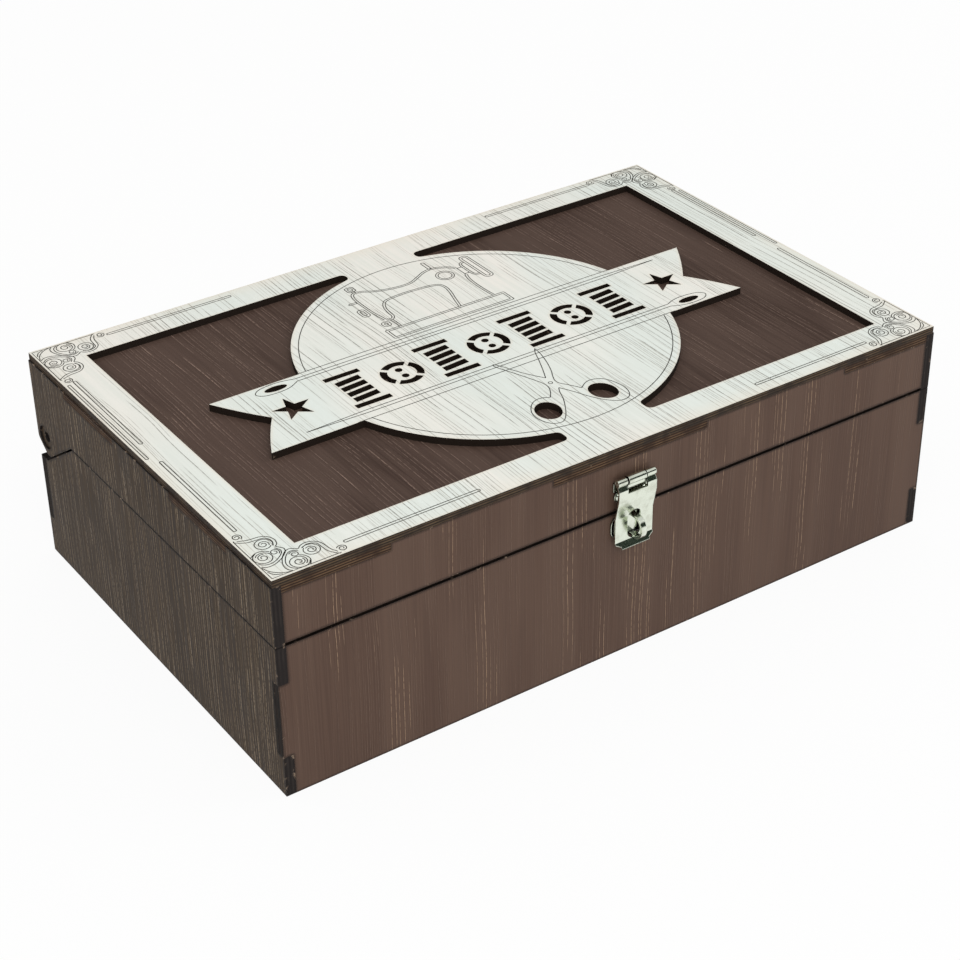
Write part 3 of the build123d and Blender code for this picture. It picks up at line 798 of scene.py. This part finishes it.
def crossCutter(look):
    shape = bmesh.new()
    size = Matrix.Diagonal((2 * look["arm"], look["slotWidth"], 2 * look["recess"], 1))
    for angle in (0, 90):
        turn = Matrix.Rotation(math.radians(angle), 4, "Z")
        bmesh.ops.create_cube(shape, size=1, matrix=Matrix.Translation((0, 0, look["height"])) @ turn @ size)
    return shapeObject("crossCutter", shape)


def carve(piece, cutter):
    cut = piece.modifiers.new("cross", "BOOLEAN")
    cut.operation = "DIFFERENCE"
    cut.object = cutter
    cut.solver = "EXACT"
    cut.use_self = True
    bpy.context.view_layer.update()
    carved = piece.evaluated_get(bpy.context.evaluated_depsgraph_get())
    carved = bpy.data.meshes.new_from_object(carved)
    piece.modifiers.clear()
    piece.data = carved
    bpy.data.objects.remove(cutter)


def screwHead(name, place, angle, look):
    head = screwDome(name, look)
    carve(head, crossCutter(look))
    turn = Matrix.Rotation(math.radians(90), 4, "X") @ Matrix.Rotation(math.radians(angle), 4, "Z")
    head.data.transform(Matrix.Translation(place) @ turn)
    for face in head.data.polygons:
        face.use_smooth = True
    head.data.set_sharp_from_angle(angle=look["sharpFrom"])
    head.data.materials.append(nickel)
    return head


plateLow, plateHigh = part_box("staple_plate")
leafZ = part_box("hasp_leaf")[0].z + screwPlaces["overLeafEnd"]
plateZ = (plateLow.z + plateHigh.z) / 2
for side, word, angle in ((-1, "Left", 63), (1, "Right", 27)):  # angle of the cross
    place = (side * screwPlaces["leafX"], plateLow.y, leafZ)
    leafScrew = screwHead("leafScrew" + word, place, angle, leafScrewLook)
    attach(leafScrew, "lid")
    place = (side * screwPlaces["stapleX"], plateLow.y, plateZ)
    stapleScrew = screwHead("stapleScrew" + word, place, angle, stapleScrewLook)
    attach(stapleScrew, "base")
print("screws placed")


# floor, light and camera

studio = {
    "floor": colour(245, 245, 244), "floorReach": 6.0, "floorDrop": 0.1 * mm, "glow": 0.92, "world": 0.72,
    "bandLow": 0.04, "bandLowFade": 0.1, "bandHigh": 0.66, "bandHighFade": 0.12,
    "bandColour": colour(36, 50, 39),
}
white = (1, 1, 1, 1)


def makeFloor(look):
    reach = look["floorReach"]
    corners = [(-reach, -reach, 0), (reach, -reach, 0), (reach, reach, 0), (-reach, reach, 0)]
    floor = newObject("floor", bpy.data.meshes.new("floor"))
    floor.data.from_pydata(corners, [], [(0, 1, 2, 3)])
    material, tree, shader = newMaterial("paleFloor")
    shader.inputs["Base Color"].default_value = look["floor"]
    shader.inputs["Roughness"].default_value = 0.9
    shader.inputs["Specular IOR Level"].default_value = 0.0
    rays = addNode(tree, "LightPath").outputs
    seen = maths(tree, "MAXIMUM", rays["Is Camera Ray"], rays["Is Glossy Ray"])
    seen = maths(tree, "MAXIMUM", seen, rays["Is Transmission Ray"])
    share = maths(tree, "MULTIPLY", seen, look["glow"])
    glow = addNode(tree, "Emission", {"Color": white, "Strength": 1.0}).outputs[0]
    mix = addNode(tree, "MixShader", {0: share, 1: shader.outputs[0], 2: glow}).outputs[0]
    tree.links.new(mix, tree.nodes["Material Output"].inputs["Surface"])
    floor.data.materials.append(material)
    floor.location.z = -look["floorDrop"]


def makeWorld(look):
    # white behind the object; metal also sees a dark band between the pale floor and the ceiling
    world = bpy.data.worlds.new("softRoom")
    bpy.context.scene.world = world
    world.use_nodes = True
    tree = world.node_tree
    background = tree.nodes["Background"]
    rays = addNode(tree, "LightPath").outputs
    seen = maths(tree, "MAXIMUM", rays["Is Camera Ray"], rays["Is Transmission Ray"])
    height = addNode(tree, "SeparateXYZ", {0: addNode(tree, "TexCoord").outputs["Generated"]}).outputs["Z"]
    over = fit(tree, height, look["bandLow"], look["bandLow"] + look["bandLowFade"])
    under = fit(tree, height, look["bandHigh"], look["bandHigh"] - look["bandHighFade"])
    band = maths(tree, "MULTIPLY", maths(tree, "MULTIPLY", over, under), rays["Is Glossy Ray"])
    tree.links.new(mixColour(tree, band, white, look["bandColour"]), background.inputs["Color"])
    strength = addNode(tree, "MapRange", {"Value": seen, "To Min": look["world"], "To Max": 1.0}).outputs[0]
    tree.links.new(strength, background.inputs["Strength"])


lamps = {
    "keyLamp": {"place": (-0.5, -1.0, 1.3), "size": (1.4, 1.0), "power": 9.0},
    "fillLamp": {"place": (1.3, -0.5, 0.8), "size": (1.0, 1.0), "power": 3.0},
}
lampAim = (0, 0, 0.05)


def makeLamp(name, look):
    data = bpy.data.lights.new(name, "AREA")
    data.shape = "RECTANGLE"
    data.size, data.size_y = look["size"]
    data.energy = look["power"]
    lamp = newObject(name, data)
    lamp.location = look["place"]
    lamp.rotation_euler = (Vector(lampAim) - Vector(look["place"])).to_track_quat("-Z", "Y").to_euler()


cameraLook = {
    "place": (-0.4193, -0.6171, 0.5023), "azimuth": -34.028, "elevation": 32.502, "roll": -0.841,
    "lens": 81.62, "sensor": 36.0, "nearest": 0.02,  # lens and sensor in millimetres
}


def makeCamera(look):
    data = bpy.data.cameras.new("camera")
    data.lens = look["lens"]
    data.sensor_width = look["sensor"]
    data.clip_start = look["nearest"]
    camera = newObject("camera", data)
    turn, rise, roll = (math.radians(look[key]) for key in ("azimuth", "elevation", "roll"))
    back = Vector((math.sin(turn) * math.cos(rise), -math.cos(turn) * math.cos(rise), math.sin(rise)))
    right = Vector((math.cos(turn), math.sin(turn), 0))
    up = back.cross(right)
    tilted = right * math.cos(roll) + up * math.sin(roll)
    risen = up * math.cos(roll) - right * math.sin(roll)
    facing = Matrix((tilted, risen, back)).transposed().to_4x4()
    camera.matrix_world = Matrix.Translation(look["place"]) @ facing
    bpy.context.scene.camera = camera


makeFloor(studio)
makeWorld(studio)
for name, look in lamps.items():
    makeLamp(name, look)
makeCamera(cameraLook)
bpy.context.scene.view_settings.view_transform = "Standard"
print("stage ready")
